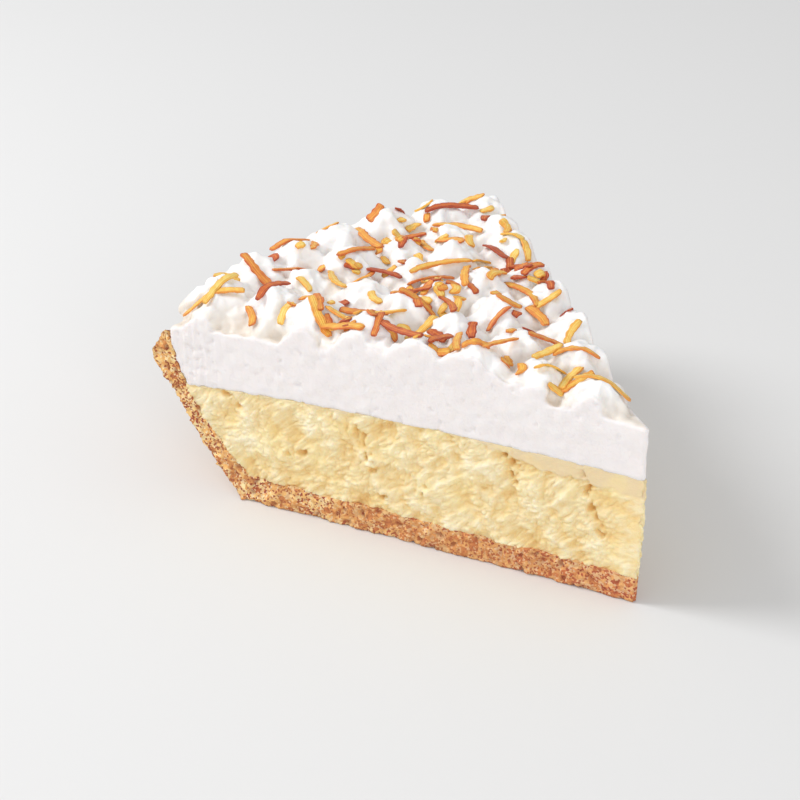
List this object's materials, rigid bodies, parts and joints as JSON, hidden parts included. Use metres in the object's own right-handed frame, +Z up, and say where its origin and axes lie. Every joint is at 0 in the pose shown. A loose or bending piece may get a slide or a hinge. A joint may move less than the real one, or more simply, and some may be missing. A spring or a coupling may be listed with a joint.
{
  "type": "coconut pie slice",
  "caption": "Wedge of coconut pie: crumb crust with a raised rim, custard filling, piped whipped topping and toasted coconut shreds.",
  "frame": {"origin": "centre of the slice's bounding box, on its flat underside", "axes": "+X towards the tip (the pie's middle), -X to the crust's wall, +Z up; the two cut faces face -Y and +Y"},
  "size_m": [0.1177, 0.0998, 0.0521],
  "materials": {
    "crumb": "dry baked crumb",
    "custard": "moist, torn by the knife",
    "cream": "smooth whipped cream with toasted shreds"
  },
  "bodies": {
    "root": {"crumb_crust": "crumb", "custard": "custard", "whipped_topping": "cream"}
  },
  "joints": []
}
